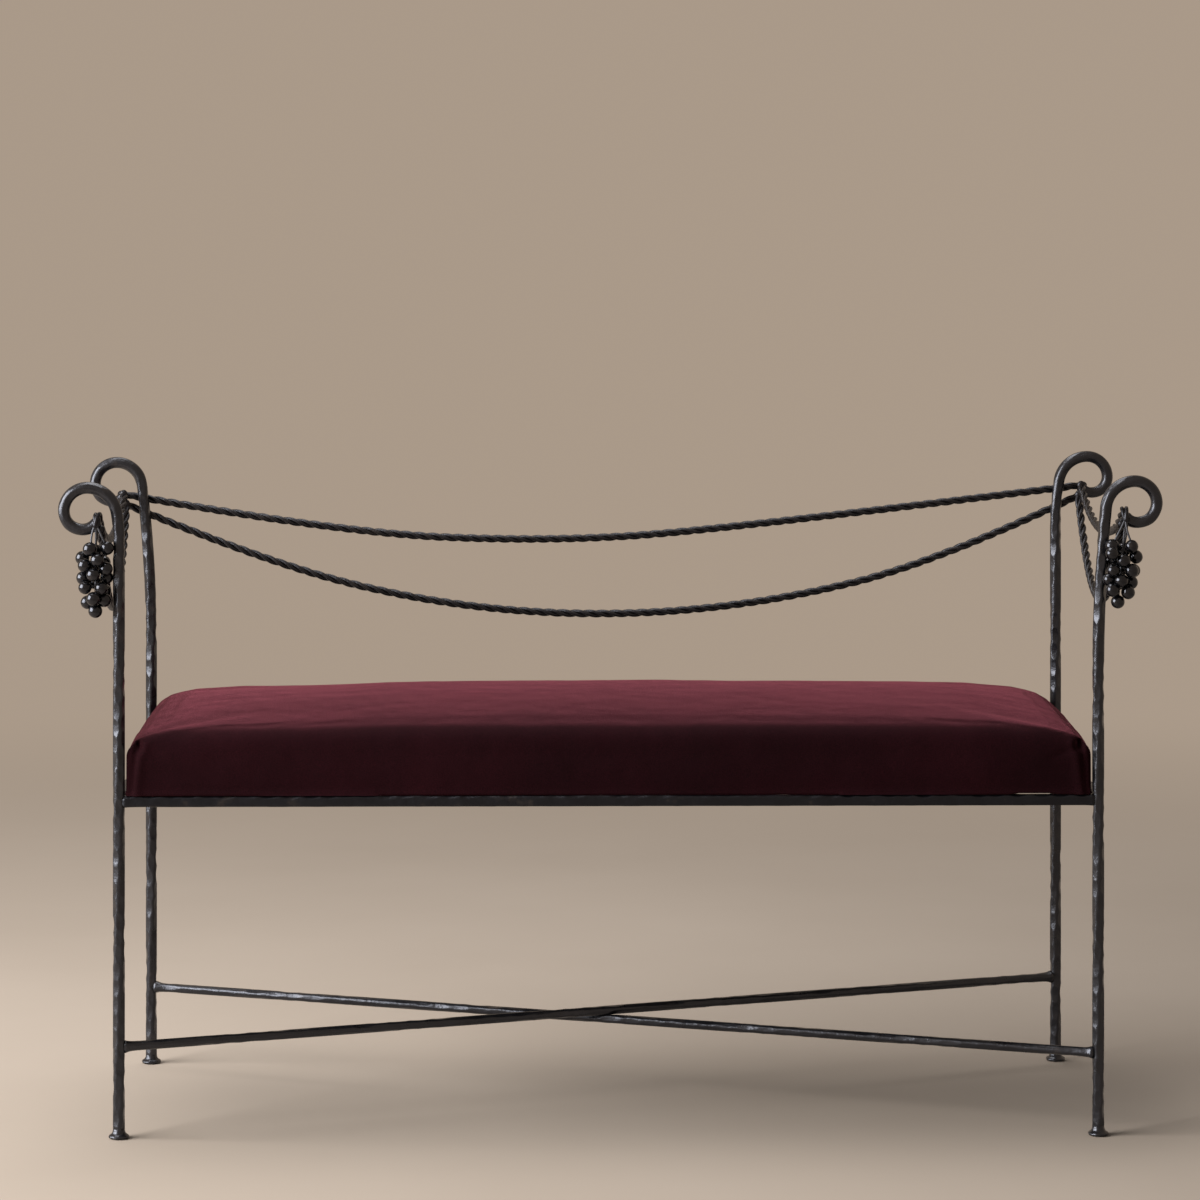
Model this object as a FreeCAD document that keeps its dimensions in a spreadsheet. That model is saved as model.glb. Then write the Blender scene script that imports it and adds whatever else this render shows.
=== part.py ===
import FreeCAD, Part
import math
import os
import Sketcher

V = FreeCAD.Vector

# Driving sizes, in millimetres and degrees. The floor is z = 0, the front is -Y,
# and +X is to the right of somebody who stands in front of the bench.
SIZES = {
    # Posts: round bar on the corners of a rectangle, curled outwards at the top.
    "post_spacing_long": 1080.0,
    "post_spacing_deep": 390.0,
    "post_bar": 12.7,
    "crown_height_right": 728.6,
    "crown_height_left": 722.5,
    "lean_radius": 1930.0,
    "lean_angle": 10.0,
    "shoulder_radius": 33.7,
    "brow_radius": 25.6,
    "belly_radius": 21.3,
    "curl_radius": 20.0,
    "curl_angle": 58.0,
    # Feet: forged buttons welded under the posts.
    "foot_diameter": 23.0,
    "foot_rim": 4.0,
    "foot_height": 9.0,
    # Seat frame: square bar, coped to the posts.
    "rail_bar": 12.0,
    "rail_chamfer": 1.5,
    "rail_top": 377.0,
    # Crossed stretchers: the upper one lies on the lower one at the crossing.
    "stretcher_bar": 9.5,
    "stretcher_height": 91.0,
    # Twisted iron swags.
    "swag_diameter": 9.6,
    "weld_bite": 0.5,
    "back_upper_sag": 61.8,
    "back_lower_sag": 142.5,
    "side_upper_sag": 40.0,
    "side_lower_sag": 114.3,
    "back_end_reach": 4.0,
    "back_upper_end_rise": 1.2,
    "back_lower_end_drop": 9.0,
    "side_end_setback": 2.0,
    "side_upper_end_rise": 2.0,
    "side_lower_end_drop": 9.5,
    "side_lower_end_inset": 3.0,
    # Grape bunches, hung from the front curls.
    "berry_diameter": 14.0,
    "berry_gap": 0.15,
    "stalk_wire": 2.5,
    "stem_wire": 1.9,
    "weld_bead": 5.0,
    "hang_inset": 3.0,
    # Upholstered seat pad.
    "pad_end_clearance": 1.7,
    "pad_height": 95.0,
    "pad_roll_radius": 22.0,
    "pad_tuck": 2.0,
    "cover_thickness": 1.5,
    "cover_return": 18.0,
    "board_thickness": 12.0,
    "board_margin": 2.0,
    "board_corner_radius": 10.0,
    "dust_cover_thickness": 1.0,
    "dust_cover_clearance": 0.3,
    "dust_hole_diameter": 7.0,
    # Straps and screws that hold the pad down.
    "tab_inset": 160.0,
    "tab_width": 25.0,
    "tab_thickness": 3.0,
    "tab_hole_setback": 15.0,
    "tab_hole_margin": 10.0,
    "screw_diameter": 4.0,
    "screw_head_diameter": 8.0,
    "screw_head_height": 2.5,
    "screw_bite": 9.0,
    "screw_hole_clearance": 0.2,
    "pilot_tip": 1.0,
}

# Hand-bent scrolls differ a little. Each row gives, as shares of the sizes above, a
# post's lean radius and lean angle, then its shoulder, brow, belly and curl radii.
SCROLL_SHARES = {
    "front_right": (1.0, 0.543, 0.95, 0.946, 1.0, 0.862),
    "front_left": (0.087, 0.97, 0.98, 1.0, 0.956, 1.0),
    "back_right": (0.155, 1.0, 1.0, 0.948, 0.888, 0.767),
    "back_left": (0.843, 0.676, 0.893, 0.996, 0.996, 0.767),
}

# Corners of each swag's route: the share of the way along, and the drop below the
# straight line between the two ends as a share of the sag.
BACK_UPPER_SHARES = ((0.228, 0.796), (0.447, 1.0), (0.632, 0.786))
BACK_LOWER_SHARES = ((0.15, 0.517), (0.325, 0.878), (0.5, 1.0), (0.675, 0.893), (0.85, 0.561))
SIDE_SHARES = ((0.167, 0.613), (0.5, 1.0), (0.833, 0.613))
CORNER_REACH_SHARE = 0.45

# Berry places of each bunch, in shares of the berry diameter from the point where
# the bunch hangs: outwards, backwards and down. The first ones have a stem each, and
# the last one ends the stalk.
STEM_COUNT = 3
LEFT_BERRY_SHARES = (
    (-0.91, -0.1, 1.91),
    (0.4, -0.45, 1.97),
    (-0.19, -0.62, 2.81),
    (1.09, 0.55, 2.74),
    (0.82, -0.3, 3.25),
    (-0.82, -0.2, 3.54),
    (0.11, -0.66, 3.95),
    (1.01, 0.42, 4.3),
    (-0.82, 0.55, 4.27),
    (0.78, -0.35, 4.98),
    (-0.5, -0.4, 5.04),
    (0.11, -0.67, 5.84),
    (0.67, 0.36, 6.21),
    (-0.67, -0.02, 6.0),
    (0.1, 0.62, 2.2),
    (-0.58, 0.85, 3.12),
    (0.35, 0.8, 3.6),
    (0.15, 0.82, 4.7),
    (-0.65, 0.76, 5.35),
    (0.01, -0.05, 6.85),
)
RIGHT_BERRY_SHARES = (
    (0.33, -0.35, 2.24),
    (-1.22, -0.28, 2.22),
    (-1.3, -1.12, 2.71),
    (-0.36, -0.89, 3.31),
    (0.74, 0.1, 3.09),
    (-1.27, 1.12, 3.81),
    (-1.16, -0.95, 4.05),
    (0.26, -0.85, 4.09),
    (-1.41, -0.34, 4.84),
    (-0.56, -1.0, 4.85),
    (0.33, -0.04, 5.09),
    (-1.24, -1.0, 5.59),
    (0.0, -0.75, 5.8),
    (-0.14, 0.44, 2.55),
    (-0.9, 0.38, 3.22),
    (-0.45, 0.36, 4.15),
    (0.58, 0.4, 4.2),
    (-0.6, 0.42, 5.2),
    (-0.77, -0.5, 6.56),
)
SETTLE_ROUNDS = 600

# Sections of the pad from its middle to its end, in shares: along half the length,
# then half the width, the crown, the foot of the roll and the roll's radius.
PAD_SHARES = (
    (0.0, 0.993, 1.0, 0.59, 1.0),
    (0.45, 0.995, 0.977, 0.59, 1.0),
    (0.68, 0.998, 0.95, 0.585, 1.0),
    (0.8, 1.0, 0.922, 0.575, 1.0),
    (0.915, 1.0, 0.84, 0.55, 0.95),
    (0.965, 0.999, 0.755, 0.52, 0.8),
    (0.99, 0.997, 0.655, 0.48, 0.6),
    (1.0, 0.994, 0.58, 0.45, 0.42),
)

HALF = 0.5
RIGHT_ANGLE = 90.0
STRAIGHT_ANGLE = 180.0


class Size(float):
    """A number that knows the sheet expression it comes from."""

    def __new__(cls, value, text):
        size = float.__new__(cls, value)
        size.text = text
        return size

    def __add__(self, other):
        return Size(float(self) + other, f"({self.text} + {words(other)})")

    def __radd__(self, other):
        return Size(other + float(self), f"({words(other)} + {self.text})")

    def __sub__(self, other):
        return Size(float(self) - other, f"({self.text} - {words(other)})")

    def __rsub__(self, other):
        return Size(other - float(self), f"({words(other)} - {self.text})")

    def __mul__(self, other):
        return Size(float(self) * other, f"({self.text} * {words(other)})")

    __rmul__ = __mul__

    def __truediv__(self, other):
        return Size(float(self) / other, f"({self.text} / {words(other)})")

    def __neg__(self):
        return Size(-float(self), f"(-{self.text})")


def words(value):
    return value.text if isinstance(value, Size) else f"{value:.9g}"


def diagonal(along, across):
    text = f"sqrt({along.text}^2 + {across.text}^2)"
    return Size(math.hypot(along, across), text)


class Sizes:
    """The sheet's cells, read by name."""

    def __init__(self, sheet):
        self.sheet = sheet

    def __getattr__(self, name):
        return Size(float(self.sheet.get(name)), f"{self.sheet.Label}.{name}")


def make_sheet(doc):
    sheet = doc.addObject("Spreadsheet::Sheet", "Sizes")
    for row, (name, value) in enumerate(SIZES.items(), start=1):
        sheet.set(f"A{row}", name)
        sheet.set(f"B{row}", str(value))
        sheet.setAlias(f"B{row}", name)
    doc.recompute()
    return sheet


doc = FreeCAD.newDocument("accent_bench")
S = Sizes(make_sheet(doc))
NODES = []

# Sizes that follow from the driving ones.
post_radius = S.post_bar * HALF
half_long = S.post_spacing_long * HALF
half_deep = S.post_spacing_deep * HALF
rail_half = S.rail_bar * HALF
rail_middle = S.rail_top - rail_half
swag_radius = S.swag_diameter * HALF
berry_radius = S.berry_diameter * HALF
pad_bottom = S.rail_top
pad_half_length = half_long - post_radius - S.pad_end_clearance
pad_half_width = half_deep + rail_half
board_bottom = pad_bottom + S.cover_thickness
board_half_length = pad_half_length - S.cover_thickness - S.board_margin
board_half_width = pad_half_width - S.cover_thickness - S.pad_tuck - S.board_margin
tab_half_spacing = half_long - S.tab_inset
rail_inner_face = half_deep - rail_half
screw_line = rail_inner_face - S.tab_hole_setback


# Helpers for bodies and sketches.
def new_body(label, place=None):
    body = doc.addObject("PartDesign::Body", label)
    body.Label = label
    if place is not None:
        body.Placement = place
    NODES.append(body)
    return body


def place_at(x, y, z, turn=0.0):
    return FreeCAD.Placement(V(x, y, z), FreeCAD.Rotation(V(0, 0, 1), turn))


def new_sketch(body, name, plane, lift=None):
    sketch = body.newObject("Sketcher::SketchObject", f"{body.Label}_{name}")
    for feature in body.Origin.OriginFeatures:
        if feature.Role == plane:
            sketch.AttachmentSupport = [(feature, "")]
    sketch.MapMode = "FlatFace"
    if lift is not None:
        sketch.AttachmentOffset = FreeCAD.Placement(V(0, 0, lift), FreeCAD.Rotation())
        sketch.setExpression("AttachmentOffset.Base.z", lift.text)
    return sketch


def drive(sketch, kind, references, size):
    """Add a dimension to a sketch and bind it to the sheet."""
    datum = math.radians(size) if kind == "Angle" else float(size)
    index = sketch.addConstraint(Sketcher.Constraint(kind, *references, datum))
    if isinstance(size, Size):
        sketch.setExpression(f"Constraints[{index}]", size.text)


def drive_point(sketch, item, end, x, y):
    """Hold one end of a sketch item at a driven place."""
    for kind, value in (("DistanceX", x), ("DistanceY", y)):
        drive(sketch, kind, (-1, 1, item, end), value)


def add_polygon(sketch, corners):
    first = sketch.GeometryCount
    count = len(corners)
    for index, (x, y) in enumerate(corners):
        next_x, next_y = corners[(index + 1) % count]
        sketch.addGeometry(Part.LineSegment(V(x, y, 0), V(next_x, next_y, 0)))
    for index, (x, y) in enumerate(corners):
        before = first + (index - 1) % count
        sketch.addConstraint(Sketcher.Constraint("Coincident", before, 2, first + index, 1))
        drive_point(sketch, first + index, 1, x, y)


def add_circle(sketch, x, y, radius):
    item = sketch.addGeometry(Part.Circle(V(x, y, 0), V(0, 0, 1), float(radius)))
    drive(sketch, "Radius", (item,), radius)
    drive_point(sketch, item, 3, x, y)


def add_pad(body, sketch, length, both_ways=False):
    pad = body.newObject("PartDesign::Pad", f"{body.Label}_pad")
    pad.Profile = sketch
    pad.SideType = "Symmetric" if both_ways else "One side"
    pad.setExpression("Length", length.text)
    return pad


def cut_through(body, sketch):
    """Cut a sketch through the whole body, both ways, and see that it cuts."""
    doc.recompute()
    before = body.Shape.Volume
    pocket = body.newObject("PartDesign::Pocket", f"{body.Label}_cut")
    pocket.Profile = sketch
    pocket.Type = "ThroughAll"
    pocket.SideType = "Symmetric"
    doc.recompute()
    if body.Shape.Volume >= before:
        raise ValueError(f"{body.Label}: the cut removes nothing")


def add_feature(label, shape, place=None):
    feature = doc.addObject("Part::Feature", label)
    feature.Label = label
    feature.Shape = shape
    if place is not None:
        feature.Placement = place
    return feature


def cut_objects(label, base, tools):
    """Cut a chain of tools from a base; the last cut carries the label."""
    for tool in tools:
        cut = doc.addObject("Part::Cut", f"{label}_cut")
        cut.Base = base
        cut.Tool = tool
        base = cut
    base.Label = label
    NODES.append(base)
    return base


# Posts and their feet.
class Post:
    """One post: where it stands, how its scroll curls and where the curl ends."""

    def __init__(self, corner):
        depth, side = corner.split("_")
        self.corner = corner
        self.outward = 1 if side == "right" else -1
        self.x = half_long * self.outward
        self.y = half_deep * (1 if depth == "back" else -1)
        self.crown = S.crown_height_right if side == "right" else S.crown_height_left
        reach, lean, shoulder, brow, belly, curl = SCROLL_SHARES[corner]
        self.arcs = (
            (S.lean_radius * reach, S.lean_angle * lean),
            (S.shoulder_radius * shoulder, RIGHT_ANGLE - S.lean_angle * lean),
            (S.brow_radius * brow, RIGHT_ANGLE),
            (S.belly_radius * belly, RIGHT_ANGLE),
            (S.curl_radius * curl, S.curl_angle),
        )

    def place(self):
        return place_at(self.x, self.y, 0, 0 if self.outward > 0 else STRAIGHT_ANGLE)

    def straight_top(self):
        """Height where the post leaves the vertical."""
        lean_radius, lean_turn = self.arcs[0]
        shoulder_radius = self.arcs[1][0]
        lean = math.sin(math.radians(lean_turn))
        rise = lean_radius * lean + shoulder_radius * (1 - lean)
        return self.crown - post_radius - float(rise)

    def centreline(self, steps=6):
        """Points up the bar's axis to the end of the curl: outwards, then up."""
        x = 0.0
        z = float(self.straight_top())
        heading = math.radians(RIGHT_ANGLE)
        points = [(x, float(S.foot_height)), (x, z)]
        for radius, turn in self.arcs:
            centre_x = x + radius * math.sin(heading)
            centre_z = z - radius * math.cos(heading)
            for step in range(1, steps + 1):
                angle = heading - math.radians(turn) * step / steps
                x = float(centre_x - radius * math.sin(angle))
                z = float(centre_z + radius * math.cos(angle))
                points.append((x, z))
            heading = angle
        return points

    def world(self, outwards, up, backwards=0.0):
        return V(self.x + self.outward * outwards, self.y + backwards, up)

    def tip(self):
        return self.centreline()[-1]

    def hanging_point(self):
        """The point on the front of the bar, near the curl's end, that a bunch hangs from."""
        before, last = self.centreline()[-2:]
        end = self.world(*last)
        back = (self.world(*before) - end).normalize()
        return end + back * float(S.hang_inset) - V(0, post_radius, 0)


def post_path(body, post):
    """The bar's axis: a straight run and five arcs, each tangent to the last."""
    path = new_sketch(body, "axis", "XZ_Plane")
    straight = path.addGeometry(Part.LineSegment(V(0, S.foot_height, 0), V(0, post.straight_top(), 0)))
    path.addConstraint(Sketcher.Constraint("Vertical", straight))
    drive(path, "DistanceX", (-1, 1, straight, 1), 0.0)
    drive(path, "DistanceY", (-1, 1, straight, 1), S.foot_height)
    x = 0.0
    z = float(post.straight_top())
    heading = math.radians(RIGHT_ANGLE)
    last_item, last_end = straight, 2
    for number, (radius, turn) in enumerate(post.arcs):
        centre = V(x + radius * math.sin(heading), z - radius * math.cos(heading), 0)
        high = heading + math.radians(RIGHT_ANGLE)
        low = high - math.radians(turn)
        circle = Part.Circle(centre, V(0, 0, 1), float(radius))
        arc = path.addGeometry(Part.ArcOfCircle(circle, low, high))
        path.addConstraint(Sketcher.Constraint("Tangent", last_item, last_end, arc, 2))
        drive(path, "Radius", (arc,), radius)
        drive(path, "Angle", (arc,), turn)
        if number == 1:
            drive(path, "DistanceY", (-1, 1, arc, 1), post.crown - post_radius)
        heading -= math.radians(turn)
        x = centre.x - radius * math.sin(heading)
        z = centre.y + radius * math.cos(heading)
        last_item, last_end = arc, 1
    return path


def make_post(post):
    body = new_body(f"post_{post.corner}", post.place())
    path = post_path(body, post)
    section = new_sketch(body, "section", "XY_Plane", S.foot_height)
    add_circle(section, 0.0, 0.0, post_radius)
    pipe = body.newObject("PartDesign::AdditivePipe", f"{body.Label}_bar")
    pipe.Profile = section
    pipe.Spine = path
    return body


def make_foot(post):
    """A button with a half-round rim and a hollow flare up to the post."""
    body = new_body(f"foot_{post.corner}", post.place())
    half_rim = S.foot_rim * HALF
    rim_centre = S.foot_diameter * HALF - half_rim
    overhang = rim_centre - post_radius
    neck = S.foot_height - S.foot_rim
    flare = (neck * float(neck) + overhang * float(overhang)) / (2 * float(overhang))
    outline = new_sketch(body, "outline", "XZ_Plane")
    base = outline.addGeometry(Part.LineSegment(V(0, 0, 0), V(rim_centre, 0, 0)))
    rim_circle = Part.Circle(V(rim_centre, half_rim, 0), V(0, 0, 1), float(half_rim))
    start = math.radians(-RIGHT_ANGLE)
    rim = outline.addGeometry(Part.ArcOfCircle(rim_circle, start, start + math.pi))
    flare_circle = Part.Circle(V(post_radius + flare, S.foot_height, 0), V(0, 0, 1), float(flare))
    low_end = math.atan2(-neck, overhang - flare) + math.tau
    hollow = outline.addGeometry(Part.ArcOfCircle(flare_circle, math.pi, low_end))
    top = outline.addGeometry(Part.LineSegment(V(post_radius, S.foot_height, 0), V(0, S.foot_height, 0)))
    axis = outline.addGeometry(Part.LineSegment(V(0, S.foot_height, 0), V(0, 0, 0)))
    joints = (
        (base, 2, rim, 1), (rim, 2, hollow, 2), (hollow, 1, top, 1),
        (top, 2, axis, 1), (axis, 2, base, 1),
    )
    for joint in joints:
        outline.addConstraint(Sketcher.Constraint("Coincident", *joint))
    drive_point(outline, base, 1, 0.0, 0.0)
    drive_point(outline, rim, 1, rim_centre, 0.0)
    drive_point(outline, rim, 3, rim_centre, half_rim)
    outline.addConstraint(Sketcher.Constraint("Vertical", rim, 1, rim, 2))
    drive_point(outline, top, 1, post_radius, S.foot_height)
    drive_point(outline, top, 2, 0.0, S.foot_height)
    outline.addConstraint(Sketcher.Constraint("Horizontal", hollow, 3, top, 1))
    turned = body.newObject("PartDesign::Revolution", f"{body.Label}_turned")
    turned.Profile = outline
    turned.ReferenceAxis = (outline, ["V_Axis"])
    turned.Angle = 2 * STRAIGHT_ANGLE
    return body


# Seat frame and stretchers: bars coped to the posts at both ends.
def cope_ends(body, spacing):
    copes = new_sketch(body, "copes", "XY_Plane")
    for end in (-HALF, HALF):
        add_circle(copes, spacing * end, 0.0, post_radius)
    cut_through(body, copes)


def make_rail(label, length, spacing, place):
    """A square bar with broken edges, along its own X axis."""
    body = new_body(label, place)
    outline = new_sketch(body, "section", "YZ_Plane")
    flat = rail_half - S.rail_chamfer
    corners = (
        (rail_half, -flat), (rail_half, flat), (flat, rail_half), (-flat, rail_half),
        (-rail_half, flat), (-rail_half, -flat), (-flat, -rail_half), (flat, -rail_half),
    )
    add_polygon(outline, corners)
    add_pad(body, outline, length, both_ways=True)
    cope_ends(body, spacing)


def make_rails():
    make_rail("front_rail", S.post_spacing_long, S.post_spacing_long, place_at(0, -half_deep, rail_middle))
    make_rail("back_rail", S.post_spacing_long, S.post_spacing_long, place_at(0, half_deep, rail_middle))
    between = S.post_spacing_deep - S.rail_bar
    for label, x in (("left_rail", -half_long), ("right_rail", half_long)):
        make_rail(label, between, S.post_spacing_deep, place_at(x, 0, rail_middle, RIGHT_ANGLE))


def make_stretcher(label, height, turn):
    length = diagonal(S.post_spacing_long, S.post_spacing_deep)
    body = new_body(label, place_at(0, 0, height, turn))
    outline = new_sketch(body, "section", "YZ_Plane")
    add_circle(outline, 0.0, 0.0, S.stretcher_bar * HALF)
    add_pad(body, outline, length, both_ways=True)
    cope_ends(body, length)


def make_stretchers():
    slant = math.degrees(math.atan2(S.post_spacing_deep, S.post_spacing_long))
    make_stretcher("stretcher_under", S.stretcher_height, -slant)
    make_stretcher("stretcher_over", S.stretcher_height + S.stretcher_bar, slant)


# Twisted swags, as round rods along straight runs and tangent arcs.
def swag_route(start, end, sag, shares):
    route = [start]
    for along, drop in shares:
        corner = start + (end - start) * along
        route.append(corner - V(0, 0, sag * drop))
    route.append(end)
    return route


def rounded_path(route):
    """Join a route's runs by arcs as large as the runs allow."""
    edges = []
    here = route[0]
    radii = []
    for before, corner, after in zip(route, route[1:], route[2:]):
        inward = (corner - before).normalize()
        outward = (after - corner).normalize()
        turn = inward.getAngle(outward)
        shorter = min((corner - before).Length, (after - corner).Length)
        reach = CORNER_REACH_SHARE * shorter
        radius = reach / math.tan(turn * HALF)
        bisector = (outward - inward).normalize()
        arc_start = corner - inward * reach
        arc_middle = corner + bisector * (radius / math.cos(turn * HALF) - radius)
        arc_end = corner + outward * reach
        edges.append(Part.LineSegment(here, arc_start).toShape())
        edges.append(Part.Arc(arc_start, arc_middle, arc_end).toShape())
        radii.append(radius)
        here = arc_end
    edges.append(Part.LineSegment(here, route[-1]).toShape())
    return Part.Wire(edges), radii


def make_swag(label, route, posts):
    path, radii = rounded_path(route)
    circle = Part.makeCircle(swag_radius, route[0], route[1] - route[0])
    tube = path.makePipeShell([Part.Wire(circle)], True, False)
    expected = math.pi * swag_radius ** 2 * path.Length
    shown = ", ".join(f"{radius:.0f}" for radius in radii)
    print(f"{label}: length {path.Length:.0f}, volume share {tube.Volume / expected:.4f}, radii {shown}")
    rod = add_feature(f"{label}_rod", tube)
    return cut_objects(label, rod, posts)


def back_swag_route(posts, rise, sag, shares):
    """Behind the back posts, from one back curl to the other."""
    behind = post_radius + swag_radius - S.weld_bite
    ends = []
    for corner in ("back_left", "back_right"):
        out, up = posts[corner].tip()
        ends.append(posts[corner].world(out + S.back_end_reach, up + rise, behind))
    return swag_route(ends[0], ends[1], sag, shares)


def side_swag_route(posts, side, rise, inset, sag):
    """From a back curl to the front curl on the same side."""
    ends = []
    for corner, inwards in ((f"back_{side}", -1), (f"front_{side}", 1)):
        out, up = posts[corner].tip()
        ends.append(posts[corner].world(out - inset, up + rise, S.side_end_setback * inwards))
    return swag_route(ends[0], ends[1], sag, SIDE_SHARES)


def swag_routes(posts):
    routes = {
        "back_swag_upper": back_swag_route(
            posts, S.back_upper_end_rise, S.back_upper_sag, BACK_UPPER_SHARES),
        "back_swag_lower": back_swag_route(
            posts, -S.back_lower_end_drop, S.back_lower_sag, BACK_LOWER_SHARES),
    }
    for side in ("left", "right"):
        routes[f"{side}_swag_upper"] = side_swag_route(
            posts, side, S.side_upper_end_rise, 0.0, S.side_upper_sag)
        routes[f"{side}_swag_lower"] = side_swag_route(
            posts, side, -S.side_lower_end_drop, S.side_lower_end_inset, S.side_lower_sag)
    return routes


def swag_posts(label):
    place = label.split("_")[0]
    if place == "back":
        return ("back_left", "back_right")
    return (f"back_{place}", f"front_{place}")


# Grape bunches: solid balls that touch, on a stalk and stems of wire.
def nearest_on_line(point, points):
    """The nearest point of a line of runs."""
    best = points[0]
    for start, end in zip(points, points[1:]):
        run = end - start
        share = (point - start).dot(run) / run.dot(run)
        spot = start + run * min(1.0, max(0.0, share))
        if (point - spot).Length < (point - best).Length:
            best = spot
    return best


def push_from(point, spot, distance):
    """Move a point away from a spot until it is at least this far off."""
    away = point - spot
    if away.Length >= distance:
        return point
    return spot + away.normalize() * distance


def settle(places, obstacles):
    """Part berries that overlap, or that run into a bar.

    The last berry stays in place, because the stalk ends on it. Obstacles are
    lines of runs, each with its radius.
    """
    apart = float(S.berry_diameter + S.berry_gap)
    places = list(places)
    movable = range(len(places) - 1)
    for _ in range(SETTLE_ROUNDS):
        for index in movable:
            point = places[index]
            for other in range(len(places)):
                away = point - places[other]
                overlap = apart - away.Length
                if other == index or overlap <= 0:
                    continue
                shove = away.normalize() * (overlap * HALF)
                point = point + shove
                if other in movable:
                    places[other] = places[other] - shove
            for line, radius in obstacles:
                spot = nearest_on_line(point, line)
                point = push_from(point, spot, float(berry_radius + radius + S.berry_gap))
            places[index] = point
    return places


def wire_between(start, end, diameter):
    run = end - start
    return Part.makeCylinder(diameter * HALF, run.Length, start, run)


def stem_end(hub, centre, places):
    """Where a straight stem to a berry ends: beside the first berry that it meets."""
    run = (centre - hub).normalize()
    reach = float(berry_radius + S.stem_wire * HALF)
    ends = []
    for place in places:
        along = (place - hub).dot(run)
        if along > 0 and (hub + run * along - place).Length < reach:
            ends.append(along)
    return hub + run * min(ends)


def make_bunch(side, post, shares, routes, post_body):
    hub = post.hanging_point()
    places = []
    for outwards, backwards, down in shares:
        offset = V(post.outward * outwards, backwards, -down) * float(S.berry_diameter)
        places.append(hub + offset)
    stalk_end = places[-1]
    bar_axis = [post.world(x, z) for x, z in post.centreline()]
    obstacles = [([hub, stalk_end], S.stalk_wire * HALF), (bar_axis, post_radius)]
    for level in ("upper", "lower"):
        obstacles.append((routes[f"{side}_swag_{level}"], swag_radius))
    places = settle(places, obstacles)
    balls = []
    for number, centre in enumerate(places):
        ball = doc.addObject("Part::Sphere", f"{side}_berry_{number}")
        ball.setExpression("Radius", berry_radius.text)
        ball.Placement = FreeCAD.Placement(centre, FreeCAD.Rotation())
        balls.append(ball)
    berries = doc.addObject("Part::Compound", f"{side}_grape_berries")
    berries.Label = f"{side}_grape_berries"
    berries.Links = balls
    NODES.append(berries)

    wires = [wire_between(hub, stalk_end, S.stalk_wire)]
    for centre in places[:STEM_COUNT]:
        wires.append(wire_between(hub, stem_end(hub, centre, places), S.stem_wire))
    bead = Part.makeSphere(S.weld_bead * HALF, hub)
    stems = bead.fuse(wires)
    rods = add_feature(f"{side}_stem_wires", stems)
    cut_objects(f"{side}_grape_stems", rods, (post_body, berries))


# Seat pad: board, padding, cover and dust cover, on the rails.
def pad_section(shares, inset):
    """One closed section of the pad, across its length."""
    along, wide, high, roll_foot, roll = shares
    x = (pad_half_length - inset) * along
    width = pad_half_width * wide - inset
    bottom = pad_bottom + inset
    foot = pad_bottom + S.pad_height * roll_foot
    crown = pad_bottom + S.pad_height * high - inset
    radius = S.pad_roll_radius * roll - inset
    tuck = S.pad_tuck

    # The crown's arc is tangent to both rolls.
    slope = 2 * math.atan((crown - foot - radius) / (width - radius))
    bend = math.radians(RIGHT_ANGLE) - slope
    half_bend = bend * HALF
    centre = width - radius
    points = {
        "corner": (width - tuck, bottom),
        "side": (width, foot),
        "roll": (centre + radius * math.cos(half_bend), foot + radius * math.sin(half_bend)),
        "shoulder": (centre + radius * math.cos(bend), foot + radius * math.sin(bend)),
    }
    rise = foot - bottom
    side_radius = (rise ** 2 + tuck ** 2) / (2 * tuck)
    side_turn = math.asin(rise / side_radius) * HALF
    side_middle = (width - side_radius * (1 - math.cos(side_turn)), foot - side_radius * math.sin(side_turn))

    def at(point, hand=1):
        return V(x, hand * point[0], point[1])

    def arc(first, middle, last):
        return Part.Arc(first, middle, last).toShape()

    corner, side = points["corner"], points["side"]
    rolled, shoulder = points["roll"], points["shoulder"]
    edges = (
        Part.LineSegment(at(corner, -1), at(corner)).toShape(),
        arc(at(corner), at(side_middle), at(side)),
        arc(at(side), at(rolled), at(shoulder)),
        arc(at(shoulder), V(x, 0, crown), at(shoulder, -1)),
        arc(at(shoulder, -1), at(rolled, -1), at(side, -1)),
        arc(at(side, -1), at(side_middle, -1), at(corner, -1)),
    )
    return Part.Wire(edges)


def pad_solid(inset):
    """A crowned, closed form that is drawn in at its ends and its lower edges."""
    stations = [(-along, *rest) for along, *rest in reversed(PAD_SHARES[1:])]
    stations += list(PAD_SHARES)
    sections = [pad_section(shares, inset) for shares in stations]
    return Part.makeLoft(sections, True, False)


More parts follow.
